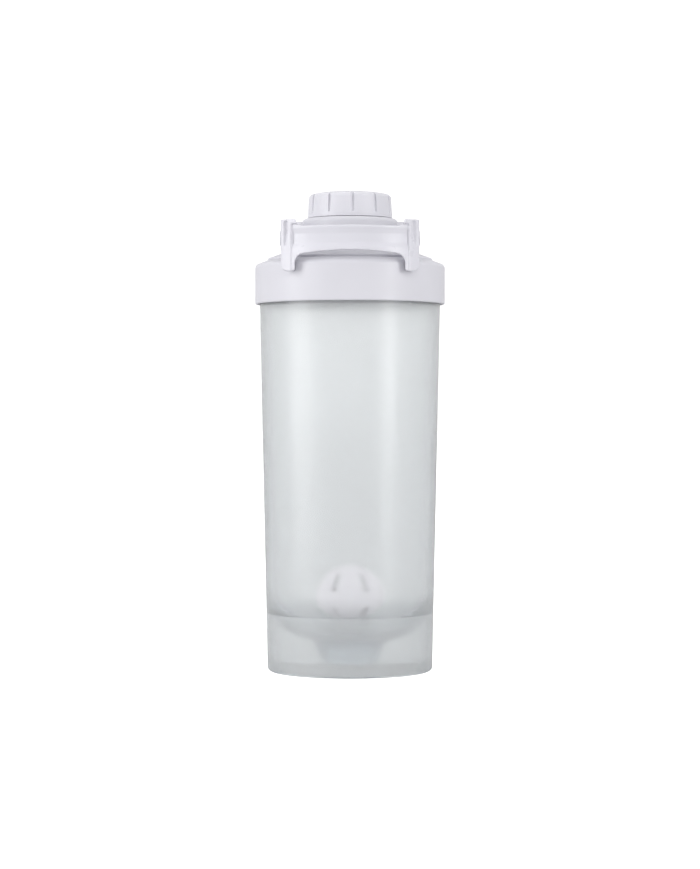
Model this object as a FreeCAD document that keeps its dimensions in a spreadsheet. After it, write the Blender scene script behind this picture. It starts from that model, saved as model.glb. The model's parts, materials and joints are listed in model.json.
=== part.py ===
"""Protein shaker bottle: cup, screw lid, carry handle, spout cap and mixing ball. Millimetres, +Z up, front = -Y."""
import FreeCAD, Part
import math
import os
import Sketcher

os.makedirs("parts", exist_ok=True)
doc = FreeCAD.newDocument("shaker_bottle")

# ---- driving dimensions -------------------------------------------------
DIMENSIONS = {
    # cup
    "cup_foot_radius": 38.7, "cup_top_radius": 42.3, "cup_wall": 1.8, "cup_shoulder_z": 173.4,
    "neck_radius": 40.8, "neck_start_z": 174.6, "rim_z": 184.5, "floor_z": 17.2, "floor_wall": 2.4, "floor_junction_z": 27.2,
    "foot_edge": 2.2, "floor_corner": 21.0, "boss_radius": 12.2, "boss_z": 3.7,
    # lid thread (cup outside, collar inside)
    "lid_lead": 6.0, "lid_thread_depth": 1.5, "lid_thread_root": 2.4, "lid_thread_crest": 1.2,
    "lid_thread_z": 176.4, "lid_thread_rise": 6.6,
    # lid collar and dome
    "lid_radius": 44.5, "skirt_z": 172.0, "collar_bore": 43.0, "shoulder_z": 187.8, "collar_top_z": 192.4,
    "seam_radius": 38.8, "seam_gap": 0.2, "flange_z": 186.5, "flange_radius": 42.6,
    "spout_base_radius": 22.4, "spout_base_z": 212.0, "spout_radius": 14.6, "spout_bore": 12.6, "spout_z": 219.9,
    # spout cap and its thread
    "cap_low_radius": 19.8, "cap_top_radius": 19.2, "cap_low_z": 212.3, "cap_top_z": 225.0, "cap_crown": 1.9,
    "cap_bore": 16.4, "cap_roof": 3.4, "cap_edge": 1.8, "flute_radius": 0.8, "flute_depth": 1.3, "flute_lean": 6.0,
    "flute_turn": 3.6, "flute_count": 11,
    "cap_lead": 4.0, "cap_thread_depth": 1.0, "cap_thread_root": 1.6, "cap_thread_crest": 0.8,
    "cap_thread_z": 213.7, "cap_thread_rise": 4.4,
    # seals
    "gasket_low_z": 184.8, "gasket_high_z": 186.2, "gasket_inner": 38.4, "gasket_outer": 41.2,
    "liner_low_z": 220.2, "liner_high_z": 221.3, "liner_inner": 11.6, "liner_outer": 15.9,
    # handle and its pins
    "pivot_z": 203.0, "handle_half": 31.5, "arm_thickness": 4.5, "strap_outer": 48.6, "strap_inner": 45.3,
    "strap_top_z": 205.8, "arm_top_z": 208.9, "post_low_z": 185.4, "post_inner": 25.0, "arch_z": 194.6,
    "arch_spring_z": 192.6,
    "eye_radius": 4.6, "eye_bore": 2.08, "cove_depth": 1.5,
    "pin_radius": 2.0, "pin_start": 23.2, "pin_head_radius": 3.4, "pin_head_start": 31.8, "pin_head": 1.0,
    "pin_fit": 0.02, "lug_half": 6.5, "lug_top_z": 210.4, "lug_face": 26.6,
    # mixing ball
    "ball_radius": 16.0, "ball_wall": 1.6, "ball_z": 33.5, "ball_slot": 3.2, "ball_split": 0.05,
}
sheet = doc.addObject("Spreadsheet::Sheet", "dims")
for row, (alias, value) in enumerate(DIMENSIONS.items(), start=1):
    sheet.set(f"A{row}", alias)
    sheet.set(f"B{row}", str(value))
    sheet.setAlias(f"B{row}", alias)
doc.recompute()

D = DIMENSIONS
BODIES = {}  # node name: the object whose shape is written


def full(expression):
    """Turn '#name' shorthand into a reference to the sheet."""
    return str(expression).replace("#", "dims.")


def value(expression):
    return float(sheet.evalExpression(full(expression)))


# ---- helpers --------------------------------------------------------------
def new_body(name):
    body = doc.addObject("PartDesign::Body", name)
    body.Label = name
    BODIES[name] = body
    return body


def plane_sketch(body, name, role="XZ_Plane", offset=None):
    sketch = body.newObject("Sketcher::SketchObject", name)
    plane = next(f for f in body.Origin.OriginFeatures if f.Role == role)
    sketch.AttachmentSupport = [(plane, "")]
    sketch.MapMode = "FlatFace"
    if offset is not None:
        sketch.setExpression("AttachmentOffset.Base.z", full(offset))
    return sketch


def pin_point(sketch, geo, pos, x, y):
    """Tie a sketch point to the origin by two dimensions driven from the sheet."""
    for kind, axis, expression in (("DistanceX", -2, x), ("DistanceY", -1, y)):
        amount = value(expression)
        if abs(amount) < 1e-9:
            sketch.addConstraint(Sketcher.Constraint("PointOnObject", geo, pos, axis))
            continue
        index = sketch.addConstraint(Sketcher.Constraint(kind, -1, 1, geo, pos, amount))
        sketch.setExpression(f"Constraints[{index}]", full(expression))


def polygon(sketch, points):
    """Closed outline through (x, y) expressions."""
    spots = [FreeCAD.Vector(value(x), value(y), 0) for x, y in points]
    count = len(spots)
    for i in range(count):
        sketch.addGeometry(Part.LineSegment(spots[i], spots[(i + 1) % count]), False)
    for i in range(count):
        sketch.addConstraint(Sketcher.Constraint("Coincident", i, 2, (i + 1) % count, 1))
    for i, (x, y) in enumerate(points):
        pin_point(sketch, i, 1, x, y)


def circle(sketch, x, y, radius):
    geo = sketch.addGeometry(Part.Circle(FreeCAD.Vector(value(x), value(y), 0), FreeCAD.Vector(0, 0, 1),
                                         value(radius)), False)
    pin_point(sketch, geo, 3, x, y)
    index = sketch.addConstraint(Sketcher.Constraint("Radius", geo, value(radius)))
    sketch.setExpression(f"Constraints[{index}]", full(radius))


def revolve(body, name, points, kind="Revolution"):
    sketch = plane_sketch(body, name + "_outline")
    polygon(sketch, points)
    feature = body.newObject("PartDesign::" + kind, name)
    feature.Profile = sketch
    feature.ReferenceAxis = (sketch, ["V_Axis"])
    feature.Angle = 360
    doc.recompute()
    return feature


def helix_ridge(body, name, points, lead, rise):
    """Add a screw ridge of the given section."""
    sketch = plane_sketch(body, name + "_section")
    polygon(sketch, points)
    feature = body.newObject("PartDesign::AdditiveHelix", name)
    feature.Profile = sketch
    feature.ReferenceAxis = (sketch, ["V_Axis"])
    feature.Mode = 0
    feature.setExpression("Pitch", full(lead))
    feature.setExpression("Height", full(rise))
    feature.Angle = 0
    doc.recompute()
    return feature


def extrude(body, kind, name, sketch, length, both=False, reverse=False):
    feature = body.newObject("PartDesign::" + kind, name)
    feature.Profile = sketch
    feature.setExpression("Length", full(length))
    feature.Midplane = both
    feature.Reversed = reverse
    doc.recompute()
    return feature


def round_edges(body, name, radius, wanted):
    """Fillet the edges of the body's present shape that the test picks."""
    base = body.Tip
    names = [f"Edge{i + 1}" for i, edge in enumerate(base.Shape.Edges) if wanted(edge)]
    if not names:
        raise ValueError(f"{name}: no edge to round")
    feature = body.newObject("PartDesign::Fillet", name)
    feature.Base = (base, names)
    if isinstance(radius, str):
        feature.setExpression("Radius", full(radius))
    else:
        feature.Radius = radius
    doc.recompute()
    return feature


def ring_at(radius, z, slack=0.05):
    """Edge test: a level circle of that radius at that height."""
    def wanted(edge):
        curve = edge.Curve
        return (isinstance(curve, Part.Circle) and abs(curve.Radius - radius) < slack
                and abs(curve.Center.z - z) < slack and abs(curve.Axis.z) > 0.99)
    return wanted


def mirror_body(body, name, feature):
    """Repeat a feature on the other side of the YZ plane."""
    mirrored = body.newObject("PartDesign::Mirrored", name)
    mirrored.Originals = [feature]
    plane = next(f for f in body.Origin.OriginFeatures if f.Role == "YZ_Plane")
    mirrored.MirrorPlane = (plane, [""])
    body.Tip = mirrored
    doc.recompute()
    return mirrored


def line_at(along, **where):
    """Edge test: a straight edge parallel to an axis, at the given distances from the other two."""
    def wanted(edge):
        if not isinstance(edge.Curve, Part.Line) or abs(getattr(edge.Curve.Direction, along)) < 0.99:
            return False
        middle = edge.CenterOfMass
        spots = {axis: getattr(middle, axis) for axis in where}
        spots = {axis: abs(spot) if axis == "x" else spot for axis, spot in spots.items()}
        return all(abs(spots[axis] - where[axis]) < 0.02 for axis in where)
    return wanted


def any_of(*tests):
    return lambda edge: any(test(edge) for test in tests)


# ---- cup ---------------------------------------------------------------------
cup = new_body("cup")
bowl = [(f"#cup_foot_radius - #cup_wall + 0.5 - #floor_corner * {1 - math.sin(math.radians(turn)):.5f}",
         f"#floor_z + #floor_corner * {1 - math.cos(math.radians(turn)):.5f}") for turn in range(90, -1, -6)]
# its underside leaves the outer wall at a shallow angle and ends in a boss
belly = [(f"#cup_foot_radius - #cup_wall + 0.5 - #floor_corner + (#floor_corner + #floor_wall)"
          f" * {math.sin(math.radians(turn)):.5f}",
          f"#floor_z + #floor_corner - (#floor_corner + #floor_wall) * {math.cos(math.radians(turn)):.5f}")
         for turn in range(4, 56, 6)]
revolve(cup, "cup_shell", [
    ("#cup_foot_radius - #foot_edge - 1.4", "0"),
    ("#cup_foot_radius", "0"),
    ("#cup_top_radius", "#cup_shoulder_z"),
    ("#neck_radius", "#neck_start_z"),
    ("#neck_radius", "#rim_z"),
    ("#neck_radius - #cup_wall", "#rim_z"),
    ("#neck_radius - #cup_wall", "#neck_start_z - 1.5"),
    ("#cup_top_radius - #cup_wall", "#cup_shoulder_z - 2.5"),
    *bowl,
    ("0", "#floor_z"),
    ("0", "#boss_z"),
    ("#boss_radius", "#boss_z"),
    *belly,
    ("#cup_foot_radius - #cup_wall", "#floor_junction_z"),
    ("#cup_foot_radius - #cup_wall - 0.4", "6"),
])
helix_ridge(cup, "cup_thread", [
    ("#neck_radius - 0.3", "#lid_thread_z - #lid_thread_root / 2"),
    ("#neck_radius + #lid_thread_depth", "#lid_thread_z - #lid_thread_crest / 2"),
    ("#neck_radius + #lid_thread_depth", "#lid_thread_z + #lid_thread_crest / 2"),
    ("#neck_radius - 0.3", "#lid_thread_z + #lid_thread_root / 2"),
], "#lid_lead", "#lid_thread_rise")
round_edges(cup, "foot_round", "#foot_edge", ring_at(D["cup_foot_radius"], 0))
round_edges(cup, "boss_round", 2.0, ring_at(D["boss_radius"], D["boss_z"]))
round_edges(cup, "rim_round", 0.6, any_of(ring_at(D["neck_radius"], D["rim_z"]),
                                          ring_at(D["neck_radius"] - D["cup_wall"], D["rim_z"])))

# ---- lid collar: threaded skirt with a sloped, rounded shoulder --------------
collar = new_body("lid_collar")
revolve(collar, "collar_shell", [
    ("#collar_bore", "#skirt_z"),
    ("#lid_radius", "#skirt_z"),
    ("#lid_radius", "#shoulder_z + 2.4"),
    ("#seam_radius", "#collar_top_z"),
    ("#seam_radius", "#collar_top_z - 2"),
    ("#collar_bore", "#shoulder_z + 0.3"),
])
helix_ridge(collar, "collar_thread", [
    ("#collar_bore + 0.3", "#lid_thread_z + #lid_lead / 2 - #lid_thread_root / 2"),
    ("#collar_bore - #lid_thread_depth", "#lid_thread_z + #lid_lead / 2 - #lid_thread_crest / 2"),
    ("#collar_bore - #lid_thread_depth", "#lid_thread_z + #lid_lead / 2 + #lid_thread_crest / 2"),
    ("#collar_bore + 0.3", "#lid_thread_z + #lid_lead / 2 + #lid_thread_root / 2"),
], "#lid_lead", "#lid_thread_rise - 2.4")
round_edges(collar, "shoulder_round", 2.0, ring_at(D["lid_radius"], D["shoulder_z"] + 2.4))
round_edges(collar, "skirt_round", 0.6, any_of(ring_at(D["lid_radius"], D["skirt_z"]),
                                               ring_at(D["seam_radius"], D["collar_top_z"])))

# ---- lid dome: seal flange, domed top, spout with its thread, two pivot lugs --
dome = new_body("lid_dome")
revolve(dome, "dome_solid", [
    ("0", "#flange_z"),
    ("#flange_radius", "#flange_z"),
    ("#flange_radius", "#shoulder_z + 0.1"),
    ("#seam_radius - #seam_gap", "#collar_top_z - 2.15"),
    ("#seam_radius - #seam_gap", "#collar_top_z + 0.9"),
    ("32.4", "195.5"),
    ("27", "196.9"),
    ("#spout_base_radius + 2.1", "198.5"),
    ("#spout_base_radius + 0.2", "#spout_base_z - 4"),
    ("#spout_base_radius", "#spout_base_z"),
    ("#spout_radius", "#spout_base_z"),
    ("#spout_radius", "#spout_z"),
    ("0", "#spout_z"),
])
lug_sketch = plane_sketch(dome, "crosspiece_outline", "YZ_Plane")
polygon(lug_sketch, [
    ("-#lug_half", "196"), ("#lug_half", "196"), ("#lug_half", "#lug_top_z - 1.5"), ("#lug_half - 1.5", "#lug_top_z"),
    ("-#lug_half + 1.5", "#lug_top_z"), ("-#lug_half", "#lug_top_z - 1.5"),
])
extrude(dome, "Pad", "crosspiece", lug_sketch, "#lug_face * 2", both=True)
revolve(dome, "dome_inside", [
    ("0", "#flange_z - 1"),
    ("#flange_radius - 5", "#flange_z - 1"),
    ("#flange_radius - 5", "#flange_z"),
    ("#flange_radius - 6.2", "190.6"),
    ("31.6", "193.2"),
    ("26", "194.9"),
    ("#spout_base_radius - 1.4", "197.6"),
    ("#spout_base_radius - 2", "#spout_base_z - 2.2"),
    ("#spout_bore", "#spout_base_z - 2"),
    ("#spout_bore", "#spout_z + 1"),
    ("0", "#spout_z + 1"),
], kind="Groove")
pin_hole_sketch = plane_sketch(dome, "pin_hole_outline", "YZ_Plane", "#pin_start")
circle(pin_hole_sketch, "0", "#pivot_z", "#pin_radius + #pin_fit")
pin_hole = extrude(dome, "Pocket", "pin_hole", pin_hole_sketch, "5", reverse=True)
mirror_body(dome, "pin_hole_pair", pin_hole)
helix_ridge(dome, "spout_thread", [
    ("#spout_radius - 0.3", "#cap_thread_z - #cap_thread_root / 2"),
    ("#spout_radius + #cap_thread_depth", "#cap_thread_z - #cap_thread_crest / 2"),
    ("#spout_radius + #cap_thread_depth", "#cap_thread_z + #cap_thread_crest / 2"),
    ("#spout_radius - 0.3", "#cap_thread_z + #cap_thread_root / 2"),
], "#cap_lead", "#cap_thread_rise")
round_edges(dome, "dome_edge", 0.5, any_of(ring_at(D["seam_radius"] - D["seam_gap"], D["collar_top_z"] + 0.9),
                                           ring_at(D["spout_radius"], D["spout_z"]),
                                           ring_at(D["spout_bore"], D["spout_z"])))
round_edges(dome, "spout_base_edge", 2.2, ring_at(D["spout_base_radius"], D["spout_base_z"]))

# ---- seals ---------------------------------------------------------------------
gasket = new_body("lid_gasket")
revolve(gasket, "gasket_ring", [
    ("#gasket_inner", "#gasket_low_z"), ("#gasket_outer", "#gasket_low_z"),
    ("#gasket_outer", "#gasket_high_z"), ("#gasket_inner", "#gasket_high_z"),
])
liner = new_body("spout_cap_liner")
revolve(liner, "liner_ring", [
    ("#liner_inner", "#liner_low_z"), ("#liner_outer", "#liner_low_z"),
    ("#liner_outer", "#liner_high_z"), ("#liner_inner", "#liner_high_z"),
])

# ---- spout cap: fluted, crowned, threaded inside --------------------------------
cap = new_body("spout_cap")
revolve(cap, "cap_shell", [
    ("#cap_bore", "#cap_low_z"),
    ("#cap_low_radius", "#cap_low_z"),
    ("#cap_low_radius", "#cap_low_z + 1.2"),
    ("#cap_top_radius", "#cap_top_z - #cap_crown"),
    ("#cap_top_radius * 0.78", "#cap_top_z - #cap_crown * 0.55"),
    ("#cap_top_radius * 0.45", "#cap_top_z - #cap_crown * 0.18"),
    ("0", "#cap_top_z"),
    ("0", "#cap_top_z - #cap_roof"),
    ("#cap_bore", "#cap_top_z - #cap_roof"),
])
helix_ridge(cap, "cap_thread", [
    ("#cap_bore + 0.3", "#cap_thread_z + #cap_lead / 2 - #cap_thread_root / 2"),
    ("#cap_bore - #cap_thread_depth", "#cap_thread_z + #cap_lead / 2 - #cap_thread_crest / 2"),
    ("#cap_bore - #cap_thread_depth", "#cap_thread_z + #cap_lead / 2 + #cap_thread_crest / 2"),
    ("#cap_bore + 0.3", "#cap_thread_z + #cap_lead / 2 + #cap_thread_root / 2"),
], "#cap_lead", "#cap_thread_rise - 1.6")
round_edges(cap, "cap_edge_round", "#cap_edge", ring_at(D["cap_top_radius"], D["cap_top_z"] - D["cap_crown"]))
flute_sketch = plane_sketch(cap, "flute_section", "XY_Plane")
flute_sketch.AttachmentOffset = FreeCAD.Placement(
    FreeCAD.Vector(0, 0, D["cap_top_z"]),
    FreeCAD.Rotation(FreeCAD.Vector(0, 0, 1), D["flute_turn"]) * FreeCAD.Rotation(FreeCAD.Vector(1, 0, 0), -D["flute_lean"]))
circle(flute_sketch, "0", "-#cap_top_radius - #flute_radius + #flute_depth", "#flute_radius")
flute = extrude(cap, "Pocket", "flute", flute_sketch, "#cap_top_z - #cap_low_z")
flutes = cap.newObject("PartDesign::PolarPattern", "flutes")
flutes.Originals = [flute]
flutes.Axis = (next(f for f in cap.Origin.OriginFeatures if f.Role == "Z_Axis"), [""])
flutes.Angle = 360
flutes.setExpression("Occurrences", full("#flute_count"))
cap.Tip = flutes
doc.recompute()

# ---- handle: U-shaped bail, folded forward, its strap bowed round the lid ---------
def front_arc(sketch, radius, half_width):
    """Arc about the bottle's axis across the front, from right to left. Returns its index."""
    r, half = value(radius), value(half_width)
    lean = math.asin(half / r)
    geo = sketch.addGeometry(Part.ArcOfCircle(Part.Circle(FreeCAD.Vector(0, 0, 0), FreeCAD.Vector(0, 0, 1), r),
                                              -math.pi / 2 - lean, -math.pi / 2 + lean), False)
    sketch.addConstraint(Sketcher.Constraint("Coincident", geo, 3, -1, 1))
    index = sketch.addConstraint(Sketcher.Constraint("Radius", geo, r))
    sketch.setExpression(f"Constraints[{index}]", full(radius))
    for pos, side in ((1, -1), (2, 1)):
        index = sketch.addConstraint(Sketcher.Constraint("DistanceX", -1, 1, geo, pos, side * half))
        sketch.setExpression(f"Constraints[{index}]", full(f"{side} * ({half_width})"))
    return geo


handle = new_body("handle")
plan = plane_sketch(handle, "handle_plan", "XY_Plane", "#post_low_z")
outer = front_arc(plan, "#strap_outer", "#handle_half")
inner = front_arc(plan, "#strap_inner", "#handle_half - #arm_thickness")
for side, pos in ((1, 2), (-1, 1)):
    out_x, in_x, back = side * value("#handle_half"), side * value("#handle_half - #arm_thickness"), D["eye_radius"]
    ends = [plan.Geometry[outer].EndPoint if side > 0 else plan.Geometry[outer].StartPoint,
            FreeCAD.Vector(out_x, back, 0), FreeCAD.Vector(in_x, back, 0),
            plan.Geometry[inner].EndPoint if side > 0 else plan.Geometry[inner].StartPoint]
    first = [plan.addGeometry(Part.LineSegment(a, b), False) for a, b in zip(ends, ends[1:])]
    plan.addConstraint(Sketcher.Constraint("Coincident", outer, pos, first[0], 1))
    plan.addConstraint(Sketcher.Constraint("Coincident", first[0], 2, first[1], 1))
    plan.addConstraint(Sketcher.Constraint("Coincident", first[1], 2, first[2], 1))
    plan.addConstraint(Sketcher.Constraint("Coincident", first[2], 2, inner, pos))
    pin_point(plan, first[1], 1, f"{side} * #handle_half", "#eye_radius")
    pin_point(plan, first[1], 2, f"{side} * (#handle_half - #arm_thickness)", "#eye_radius")
extrude(handle, "Pad", "handle_block", plan, "#pivot_z + #eye_radius + 2 - #post_low_z")

under = plane_sketch(handle, "under_outline", "YZ_Plane")
polygon(under, [
    ("-36.6", "#post_low_z - 1"), ("#eye_radius + 1", "#post_low_z - 1"),
    ("#eye_radius + 1", "#pivot_z"), ("#eye_radius", "#pivot_z"),
    ("#eye_radius * 0.924", "#pivot_z - #eye_radius * 0.383"), ("#eye_radius * 0.707", "#pivot_z - #eye_radius * 0.707"),
    ("#eye_radius * 0.383", "#pivot_z - #eye_radius * 0.924"), ("0", "#pivot_z - #eye_radius"),
    ("-12", "#pivot_z - #eye_radius"), ("-26", "195.6"), ("-33.5", "193"), ("-36.6", "189.5"),
])
extrude(handle, "Pocket", "under_cut", under, "#handle_half * 2 + 10", both=True)
over = plane_sketch(handle, "over_outline", "YZ_Plane")
polygon(over, [
    ("-#strap_outer - 1", "#arm_top_z"), ("-6", "#arm_top_z"), ("0", "#pivot_z + #eye_radius"),
    ("#eye_radius * 0.383", "#pivot_z + #eye_radius * 0.924"), ("#eye_radius * 0.707", "#pivot_z + #eye_radius * 0.707"),
    ("#eye_radius * 0.924", "#pivot_z + #eye_radius * 0.383"), ("#eye_radius", "#pivot_z"),
    ("#eye_radius + 1", "#pivot_z"), ("#eye_radius + 1", "#pivot_z + #eye_radius + 3"),
    ("-#strap_outer - 1", "#pivot_z + #eye_radius + 3"),
])
extrude(handle, "Pocket", "over_cut", over, "#handle_half * 2 + 10", both=True)

# the strap's top edge lies lower than the arms, and the posts' outer corners are rounded
dip = plane_sketch(handle, "dip_outline", "XZ_Plane")
polygon(dip, [
    ("-24.8", "#arm_top_z + 3"), ("-24.8", "#strap_top_z + 3.2"), ("-24.2", "#strap_top_z + 1.4"),
    ("-23.1", "#strap_top_z + 0.4"), ("-21.4", "#strap_top_z"), ("21.4", "#strap_top_z"),
    ("23.1", "#strap_top_z + 0.4"), ("24.2", "#strap_top_z + 1.4"), ("24.8", "#strap_top_z + 3.2"),
    ("24.8", "#arm_top_z + 3"),
])
dip_cut = handle.newObject("PartDesign::Pocket", "dip_cut")
dip_cut.Profile = dip
dip_cut.setExpression("Length", full("#strap_outer + 1"))
dip_cut.Reversed = True
doc.recompute()
corner = plane_sketch(handle, "corner_outline", "XZ_Plane")
polygon(corner, [
    ("#handle_half + 1", "#post_low_z - 1"), ("#handle_half + 1", "#post_low_z + 3"), ("#handle_half", "#post_low_z + 3"),
    ("#handle_half - 0.3", "#post_low_z + 1.6"), ("#handle_half - 1.1", "#post_low_z + 0.6"),
    ("#handle_half - 2.6", "#post_low_z"), ("#handle_half - 2.6", "#post_low_z - 1"),
])
corner_cut = extrude(handle, "Pocket", "corner_cut", corner, "#strap_outer * 2 + 4", both=True)
mirror_body(handle, "corner_pair", corner_cut)

# the gap under the strap: straight sides between the posts, arched on top
arch = plane_sketch(handle, "arch_outline", "XZ_Plane")
spring, top = value("#arch_spring_z"), value("#arch_z")
half, low = value("#post_inner"), value("#post_low_z - 1")
rise = top - spring
radius = (half ** 2 + rise ** 2) / (2 * rise)
lean = math.asin(half / radius)
arc = arch.addGeometry(Part.ArcOfCircle(Part.Circle(FreeCAD.Vector(0, top - radius, 0), FreeCAD.Vector(0, 0, 1),
                                                    radius), math.pi / 2 - lean, math.pi / 2 + lean), False)
corners = [(-half, spring), (-half, low), (half, low), (half, spring)]
for start, end in zip(corners, corners[1:]):
    arch.addGeometry(Part.LineSegment(FreeCAD.Vector(*start, 0), FreeCAD.Vector(*end, 0)), False)
for first, second in (((arc, 2), (1, 1)), ((1, 2), (2, 1)), ((2, 2), (3, 1)), ((3, 2), (arc, 1))):
    arch.addConstraint(Sketcher.Constraint("Coincident", *first, *second))
pin_point(arch, 1, 1, "-#post_inner", "#arch_spring_z")
pin_point(arch, 2, 1, "-#post_inner", "#post_low_z - 1")
pin_point(arch, 3, 1, "#post_inner", "#post_low_z - 1")
pin_point(arch, 3, 2, "#post_inner", "#arch_spring_z")
index = arch.addConstraint(Sketcher.Constraint("Radius", arc, radius))
arch.setExpression(f"Constraints[{index}]",
                   full("(#post_inner ^ 2 + (#arch_z - #arch_spring_z) ^ 2) / (2 * (#arch_z - #arch_spring_z))"))
extrude(handle, "Pocket", "arch_cut", arch, "#strap_outer * 2 + 4", both=True)
round_edges(handle, "arch_corner", 4.2, line_at(x=D["post_inner"], z=D["arch_spring_z"], along="y"))
round_edges(handle, "post_inner_corner", 1.2, line_at(x=D["post_inner"], z=D["post_low_z"], along="y"))

# the strap's front is hollowed, with a raised lower lip
hollow = plane_sketch(handle, "hollow_outline", "YZ_Plane")
polygon(hollow, [
    ("-#strap_outer - 1", "#strap_top_z + 1"), ("-#strap_outer + 1.2", "#strap_top_z + 1"),
    ("-#strap_outer + 0.9", "#strap_top_z - 0.8"), ("-#strap_outer + 1.5", "#strap_top_z - 3.6"),
    ("-#strap_outer + 1.4", "#arch_z + 3.4"), ("-#strap_outer + 0.7", "#arch_z + 1.3"),
    ("-#strap_outer + 0.4", "#arch_z - 1.2"), ("-#strap_outer + 0.4", "#post_low_z - 1"),
    ("-#strap_outer - 1", "#post_low_z - 1"),
])
hollow_cut = handle.newObject("PartDesign::Groove", "hollow_cut")
hollow_cut.Profile = hollow
hollow_cut.ReferenceAxis = (hollow, ["V_Axis"])
hollow_cut.Angle = 67
hollow_cut.Midplane = True
doc.recompute()

# a shallow recess in the upper front of each side
slot = plane_sketch(handle, "slot_outline", "XZ_Plane", "38.0")
polygon(slot, [
    ("#handle_half - 1.9", "#pivot_z - 7"), ("#handle_half - 1.1", "#pivot_z - 4.4"), ("#handle_half - 0.7", "#pivot_z"),
    ("#handle_half - 0.7", "#arm_top_z - 1.4"), ("#handle_half - 1.2", "#arm_top_z - 0.7"),
    ("#handle_half - 2.9", "#arm_top_z - 0.7"), ("#handle_half - 3.3", "#arm_top_z - 1.4"),
    ("#handle_half - 3.3", "#pivot_z"), ("#handle_half - 2.8", "#pivot_z - 4.4"),
])
slot_cut = extrude(handle, "Pocket", "slot_cut", slot, "6", reverse=True)
mirror_body(handle, "slot_pair", slot_cut)
eye = plane_sketch(handle, "eye_outline", "YZ_Plane")
circle(eye, "0", "#pivot_z", "#eye_bore")
extrude(handle, "Pocket", "eye_cut", eye, "#handle_half * 2 + 4", both=True)

# ---- hinge pins: pressed into the lugs, the handle turns on them -------------------
for name, side in (("hinge_pin_right", 1), ("hinge_pin_left", -1)):
    pin = new_body(name)
    shaft_sketch = plane_sketch(pin, "shaft_outline_" + name, "YZ_Plane", f"#pin_start * {side}")
    circle(shaft_sketch, "0", "#pivot_z", "#pin_radius")
    extrude(pin, "Pad", "shaft_" + name, shaft_sketch, "#pin_head_start + 0.2 - #pin_start", reverse=side < 0)
    head_sketch = plane_sketch(pin, "head_outline_" + name, "YZ_Plane", f"#pin_head_start * {side}")
    circle(head_sketch, "0", "#pivot_z", "#pin_head_radius")
    extrude(pin, "Pad", "head_" + name, head_sketch, "#pin_head", reverse=side < 0)

# ---- mixing ball: two slotted half shells snapped together at the equator --------------
def ball_part(kind, name, **sizes):
    shape = doc.addObject("Part::" + kind, name)
    for key, expression in sizes.items():
        shape.setExpression(key, full(expression))
    return shape


def cut(name, base, tool):
    result = doc.addObject("Part::Cut", name)
    result.Base, result.Tool = base, tool
    return result


def fuse(name, shapes):
    result = doc.addObject("Part::MultiFuse", name)
    result.Shapes = shapes
    return result


SLOTS = 6
for name, side in (("mixing_ball_upper", 1), ("mixing_ball_lower", -1)):
    outer = ball_part("Sphere", name + "_outer", Radius="#ball_radius")
    inner = ball_part("Sphere", name + "_inner", Radius="#ball_radius - #ball_wall")
    keep_out = ball_part("Cylinder", name + "_other_half", Radius="#ball_radius + 1", Height="#ball_radius + 1")
    if side < 0:
        keep_out.setExpression("Placement.Base.z", full("-#ball_split"))
    else:
        keep_out.setExpression("Placement.Base.z", full("#ball_split - #ball_radius - 1"))
    slots = []
    for i in range(SLOTS):
        bar = ball_part("Box", f"{name}_slot_{i}", Length="#ball_radius", Width="#ball_slot", Height="#ball_radius * 0.5")
        angle = math.radians(360 / SLOTS * i)
        bar.setExpression("Placement.Base.x", full(f"5.5 * {math.cos(angle):.6f} + #ball_slot / 2 * {math.sin(angle):.6f}"))
        bar.setExpression("Placement.Base.y", full(f"5.5 * {math.sin(angle):.6f} - #ball_slot / 2 * {math.cos(angle):.6f}"))
        bar.setExpression("Placement.Base.z", full("#ball_radius * 0.28" if side > 0 else "-#ball_radius * 0.78"))
        bar.Placement.Rotation = FreeCAD.Rotation(FreeCAD.Vector(0, 0, 1), 360 / SLOTS * i)
        slots.append(bar)
    half_shell = cut(name, outer, fuse(name + "_cuts", [inner, keep_out] + slots))
    half_shell.Label = name
    half_shell.setExpression("Placement.Base.z", full("#ball_z"))
    BODIES[name] = half_shell

# ---- check and write -----------------------------------------------------------------
doc.recompute()
for obj in doc.Objects:
    if "Invalid" in obj.State or "Error" in obj.State:
        raise ValueError(f"{obj.Name} did not build: {obj.State}")
for name, obj in BODIES.items():
    if obj.Shape.isNull() or not obj.Shape.isValid() or len(obj.Shape.Solids) != 1:
        raise ValueError(f"{name} is not one valid solid")
    obj.Shape.exportStep(f"parts/{name}.step")
    box = obj.Shape.optimalBoundingBox(True, False)
    print(f"{name}: {obj.Shape.Volume:.0f} mm3, z {box.ZMin:.2f} to {box.ZMax:.2f}")
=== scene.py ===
"""Looks of the protein shaker bottle: procedural materials, soft moulded edges, studio and camera.

Lengths are in metres. Noise scales are in waves per metre, so the grain keeps its real size.
"""
import json
import math

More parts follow.
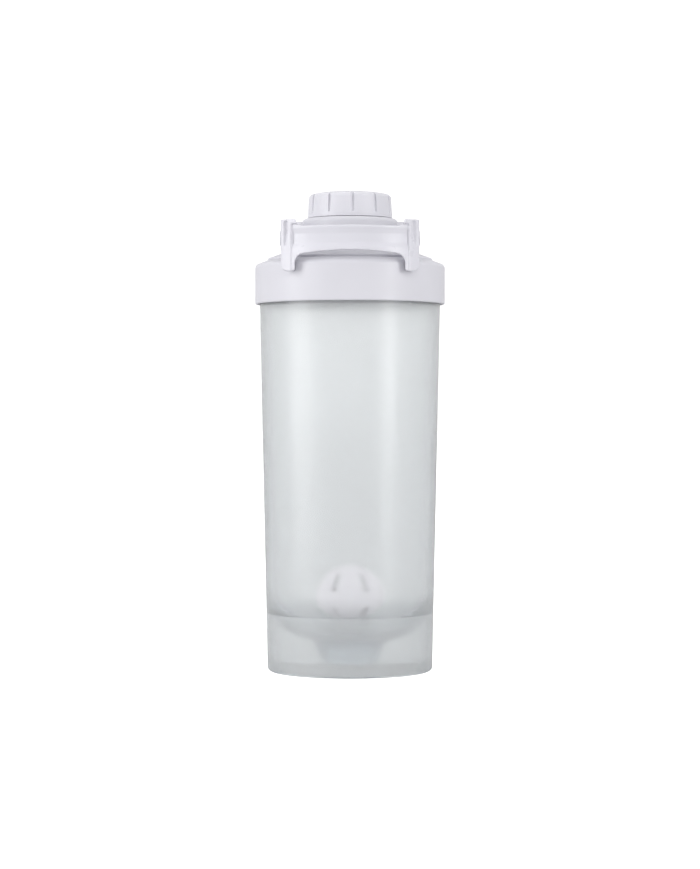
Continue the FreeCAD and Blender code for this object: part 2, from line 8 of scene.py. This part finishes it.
import bpy
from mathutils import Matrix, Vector


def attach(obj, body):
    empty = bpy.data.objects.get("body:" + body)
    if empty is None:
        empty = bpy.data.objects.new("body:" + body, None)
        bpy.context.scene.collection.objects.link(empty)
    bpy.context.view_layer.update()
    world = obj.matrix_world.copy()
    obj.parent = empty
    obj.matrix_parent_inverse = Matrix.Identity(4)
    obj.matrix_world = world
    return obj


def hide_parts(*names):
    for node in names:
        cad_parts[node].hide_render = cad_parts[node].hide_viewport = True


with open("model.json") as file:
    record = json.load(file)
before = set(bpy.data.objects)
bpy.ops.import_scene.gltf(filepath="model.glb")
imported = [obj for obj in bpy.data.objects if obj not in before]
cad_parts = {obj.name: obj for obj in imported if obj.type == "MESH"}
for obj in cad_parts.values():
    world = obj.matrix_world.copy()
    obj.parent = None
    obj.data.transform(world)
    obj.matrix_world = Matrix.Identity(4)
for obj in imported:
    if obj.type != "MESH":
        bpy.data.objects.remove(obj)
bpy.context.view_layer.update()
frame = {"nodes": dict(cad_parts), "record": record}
scene = bpy.context.scene

MM = 0.001
WHITE = (1, 1, 1, 1)

# ---- materials ------------------------------------------------------------------------
# the middle band of a noise, where nearly all of its values lie
NOISE_LOW, NOISE_HIGH = 0.35, 0.65
TINT_LOW, TINT_HIGH = 0.3, 0.7


def new_material(name):
    material = bpy.data.materials.new(name)
    material.use_nodes = True
    tree = material.node_tree
    tree.nodes.clear()
    output = tree.nodes.new("ShaderNodeOutputMaterial")
    shader = tree.nodes.new("ShaderNodeBsdfPrincipled")
    tree.links.new(shader.outputs["BSDF"], output.inputs["Surface"])
    return material, tree, shader


def noise(tree, scale, detail):
    coords = tree.nodes.new("ShaderNodeTexCoord")
    texture = tree.nodes.new("ShaderNodeTexNoise")
    texture.inputs["Scale"].default_value = scale
    texture.inputs["Detail"].default_value = detail
    tree.links.new(coords.outputs["Object"], texture.inputs["Vector"])
    return texture.outputs["Fac"]


def spread(tree, fac, low, high):
    """Map the middle band of a noise onto a range."""
    node = tree.nodes.new("ShaderNodeMapRange")
    node.inputs["From Min"].default_value = NOISE_LOW
    node.inputs["From Max"].default_value = NOISE_HIGH
    node.inputs["To Min"].default_value = low
    node.inputs["To Max"].default_value = high
    tree.links.new(fac, node.inputs["Value"])
    return node.outputs["Result"]


def tint(tree, fac, dark, light):
    """Map a noise onto a run between two colours."""
    ramp = tree.nodes.new("ShaderNodeValToRGB")
    for stop, position, colour in zip(ramp.color_ramp.elements, (TINT_LOW, TINT_HIGH), (dark, light)):
        stop.position = position
        stop.color = (*colour, 1)
    tree.links.new(fac, ramp.inputs["Fac"])
    return ramp.outputs["Color"]


def surface(tree, shader, colours, roughness, scales, grain_depth, grain):
    """Colour drift, uneven gloss and fine grain, from noise at three scales."""
    drift_scale, gloss_scale, grain_scale = scales
    colour = tint(tree, noise(tree, drift_scale, detail=2), *colours)
    gloss = spread(tree, noise(tree, gloss_scale, detail=3), *roughness)
    tree.links.new(colour, shader.inputs["Base Color"])
    tree.links.new(gloss, shader.inputs["Roughness"])
    bump = tree.nodes.new("ShaderNodeBump")
    bump.inputs["Distance"].default_value = grain_depth
    bump.inputs["Strength"].default_value = grain
    tree.links.new(noise(tree, grain_scale, detail=2), bump.inputs["Height"])
    tree.links.new(bump.outputs["Normal"], shader.inputs["Normal"])


def moulded(name, colour, rough=0.42, grain=0.25, translucent=0.05):
    """Satin moulded plastic: faint flow variation, fine spark-eroded grain, light bleeding in."""
    material, tree, shader = new_material(name)
    dark = tuple(c * 0.975 for c in colour)
    light = tuple(min(1, c * 1.02) for c in colour)
    surface(tree, shader, colours=(dark, light), roughness=(rough - 0.05, rough + 0.06),
            scales=(28, 160, 2600), grain_depth=0.04 * MM, grain=grain)
    shader.inputs["IOR"].default_value = 1.49
    shader.inputs["Subsurface Weight"].default_value = translucent
    shader.inputs["Subsurface Radius"].default_value = (2 * MM, 2 * MM, 2 * MM)
    shader.inputs["Subsurface Scale"].default_value = 1.0
    return material


def frosted(name):
    """Milky translucent plastic: blurs what is behind it and darkens where it is thick."""
    material, tree, shader = new_material(name)
    surface(tree, shader, colours=((0.955, 0.965, 0.97), (0.97, 0.98, 0.985)), roughness=(0.24, 0.27),
            scales=(14, 220, 3200), grain_depth=0.03 * MM, grain=0.2)
    shader.inputs["IOR"].default_value = 1.3
    shader.inputs["Transmission Weight"].default_value = 0.8
    shader.inputs["Coat Weight"].default_value = 0.35
    shader.inputs["Coat Roughness"].default_value = 0.38
    inside = tree.nodes.new("ShaderNodeVolumeAbsorption")
    inside.inputs["Color"].default_value = (0.60, 0.665, 0.72, 1)
    inside.inputs["Density"].default_value = 62
    output = next(node for node in tree.nodes if node.type == "OUTPUT_MATERIAL")
    tree.links.new(inside.outputs["Volume"], output.inputs["Volume"])
    return material


MATERIALS = {
    "cup_frosted": frosted("cup_frosted"),
    "lid_white": moulded("lid_white", (0.60, 0.595, 0.64)),
    "cap_white": moulded("cap_white", (0.63, 0.625, 0.67)),
    "handle_white": moulded("handle_white", (0.60, 0.595, 0.645), rough=0.32, grain=0.12),
    "pin_white": moulded("pin_white", (0.58, 0.58, 0.62), rough=0.32, grain=0.1),
    "seal_silicone": moulded("seal_silicone", (0.70, 0.71, 0.73), rough=0.5, grain=0.1, translucent=0.3),
    "ball_white": moulded("ball_white", (0.97, 0.91, 0.96), rough=0.4),
}
slots = {part["node"]: part["material_slot"] for part in frame["record"]["subparts"]}
for node, obj in frame["nodes"].items():
    obj.data.materials.clear()
    obj.data.materials.append(MATERIALS[slots[node]])

# ---- soft moulded edges ---------------------------------------------------------------
EDGE_WIDTHS = {
    "lid_collar": 0.35 * MM,
    "lid_dome": 0.3 * MM,
    "spout_cap": 0.25 * MM,
    "hinge_pin_left": 0.3 * MM,
    "hinge_pin_right": 0.3 * MM,
}
SHARP_EDGE = math.radians(35)
SKIN_VOXEL = 0.3 * MM

for node, width in EDGE_WIDTHS.items():
    edges = frame["nodes"][node].modifiers.new("edge_radius", "BEVEL")
    edges.width = width
    edges.segments = 3
    edges.limit_method = "ANGLE"
    edges.angle_limit = SHARP_EDGE

# the handle's corners all run soft into one another: a fine skin of the same shape, relaxed
handle = frame["nodes"]["handle"]
skin = bpy.data.objects.new("handle_moulded", handle.data.copy())
scene.collection.objects.link(skin)
skin.matrix_world = handle.matrix_world
remesh = skin.modifiers.new("skin", "REMESH")
remesh.mode = "VOXEL"
remesh.voxel_size = SKIN_VOXEL
remesh.use_smooth_shade = True
relax = skin.modifiers.new("relax", "SMOOTH")
relax.factor = 0.5
relax.iterations = 5
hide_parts("handle")
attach(skin, "carry_handle")

# ---- studio ---------------------------------------------------------------------------
FLOOR_SIDE, FLOOR_BACK = 6, 14
FLOOR_GLOW_AS_LIGHT, FLOOR_GLOW_SEEN = 0.05, 0.85
WORLD_AS_LIGHT, WORLD_SEEN = 0.7, 1.14

floor_mesh = bpy.data.meshes.new("studio_floor")
corners = [(-FLOOR_SIDE, -FLOOR_SIDE, 0), (FLOOR_SIDE, -FLOOR_SIDE, 0),
           (FLOOR_SIDE, FLOOR_BACK, 0), (-FLOOR_SIDE, FLOOR_BACK, 0)]
floor_mesh.from_pydata(corners, [], [(0, 1, 2, 3)])
floor = bpy.data.objects.new("studio_floor", floor_mesh)
scene.collection.objects.link(floor)
paper, paper_tree, paper_shader = new_material("studio_paper")
paper_shader.inputs["Base Color"].default_value = (0.6, 0.6, 0.6, 1)
paper_shader.inputs["Roughness"].default_value = 0.9
paper_shader.inputs["Specular IOR Level"].default_value = 0.2
paper_shader.inputs["Emission Color"].default_value = WHITE
# the paper burns out to the eye but throws little light back up
path = paper_tree.nodes.new("ShaderNodeLightPath")
glow = paper_tree.nodes.new("ShaderNodeMapRange")
glow.inputs["To Min"].default_value = FLOOR_GLOW_AS_LIGHT
glow.inputs["To Max"].default_value = FLOOR_GLOW_SEEN
paper_tree.links.new(path.outputs["Is Camera Ray"], glow.inputs["Value"])
paper_tree.links.new(glow.outputs["Result"], paper_shader.inputs["Emission Strength"])
floor_mesh.materials.append(paper)

# white to the eye and through the cup, softer as a light
world = bpy.data.worlds.new("studio_world")
scene.world = world
world.use_nodes = True
world_tree = world.node_tree
backdrop = world_tree.nodes["Background"]
ambient = world_tree.nodes.new("ShaderNodeBackground")
for background, strength in ((backdrop, WORLD_SEEN), (ambient, WORLD_AS_LIGHT)):
    background.inputs["Color"].default_value = WHITE
    background.inputs["Strength"].default_value = strength
path = world_tree.nodes.new("ShaderNodeLightPath")
seen = world_tree.nodes.new("ShaderNodeMath")
seen.operation = "MAXIMUM"
mix = world_tree.nodes.new("ShaderNodeMixShader")
world_tree.links.new(path.outputs["Is Camera Ray"], seen.inputs[0])
world_tree.links.new(path.outputs["Is Transmission Ray"], seen.inputs[1])
world_tree.links.new(seen.outputs["Value"], mix.inputs["Fac"])
world_tree.links.new(ambient.outputs["Background"], mix.inputs[1])
world_tree.links.new(backdrop.outputs["Background"], mix.inputs[2])
world_tree.links.new(mix.outputs["Shader"], world_tree.nodes["World Output"].inputs["Surface"])


def area_light(name, place, aim, size, power):
    data = bpy.data.lights.new(name, "AREA")
    data.shape = "RECTANGLE"
    data.size, data.size_y = size
    data.energy = power
    light = bpy.data.objects.new(name, data)
    light.location = place
    light.rotation_euler = (Vector(aim) - Vector(place)).to_track_quat("-Z", "Y").to_euler()
    scene.collection.objects.link(light)


MID_BOTTLE = (0, 0, 0.12)
area_light("strip_left", place=(-1.0, -0.45, 0.3), aim=MID_BOTTLE, size=(0.6, 1.2), power=9.5)
area_light("strip_right", place=(0.9, -0.75, 0.3), aim=MID_BOTTLE, size=(0.35, 1.2), power=7.5)
area_light("front_fill", place=(0.1, -1.6, 0.9), aim=MID_BOTTLE, size=(0.9, 0.6), power=2.0)
area_light("overhead", place=(0, 0.2, 1.6), aim=(0, 0, 0.1), size=(1.4, 1.4), power=5.0)

# ---- camera ---------------------------------------------------------------------------
CAMERA_DISTANCE, CAMERA_HEIGHT = 1.128, 0.121
LOOKING_LEVEL, LOOKING_DOWN = 90, 0.513

camera_data = bpy.data.cameras.new("camera")
camera_data.lens = 99.4
camera_data.sensor_width = 36
camera_data.clip_start = 0.01
camera = bpy.data.objects.new("camera", camera_data)
camera.location = (0, -CAMERA_DISTANCE, CAMERA_HEIGHT)
camera.rotation_euler = (math.radians(LOOKING_LEVEL - LOOKING_DOWN), 0, 0)
scene.collection.objects.link(camera)
scene.camera = camera
scene.view_settings.view_transform = "Standard"
scene.cycles.use_denoising = True
